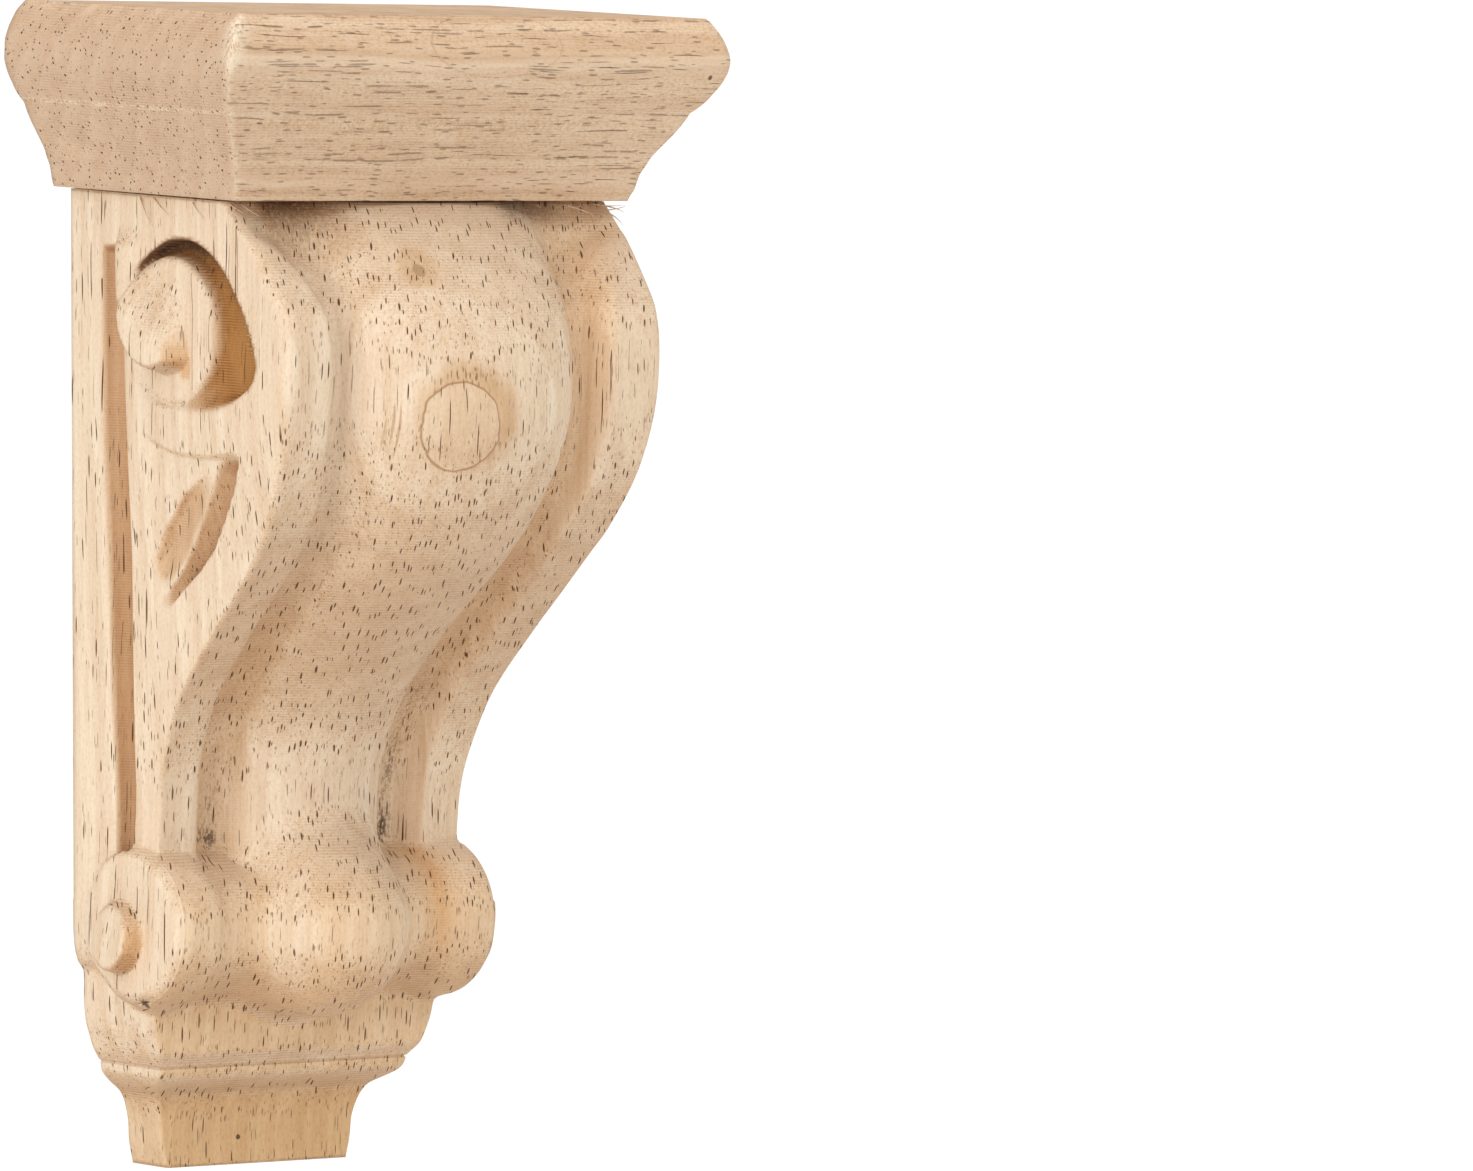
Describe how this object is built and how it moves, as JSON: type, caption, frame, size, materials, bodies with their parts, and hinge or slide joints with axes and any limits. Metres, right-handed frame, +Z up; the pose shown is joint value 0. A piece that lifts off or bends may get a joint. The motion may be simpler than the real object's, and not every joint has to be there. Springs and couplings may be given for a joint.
{
  "type": "carved wood corbel",
  "caption": "Wall bracket of carved wood: a moulded cap over an S-shaped scroll with side volutes, a lower roll with a ball, and a small foot.",
  "frame": {"origin": "on the flat back, on the centre line, at half of the whole height", "axes": "+Z up, +Y into the wall, so the carved front looks along -Y, +X to the right seen from the front"},
  "size_m": [0.0982, 0.0627, 0.18],
  "materials": {
    "cap_wood": "bare machined hardwood, matt, grain from side to side, brown pores and a pinkish end grain",
    "carved_wood": "bare carved hardwood, matt, upright grain with dark pores, fine cutter lines and fuzz in the hollows"
  },
  "bodies": {
    "root": {"cap": "cap_wood", "carved_body": "carved_wood"}
  },
  "joints": []
}
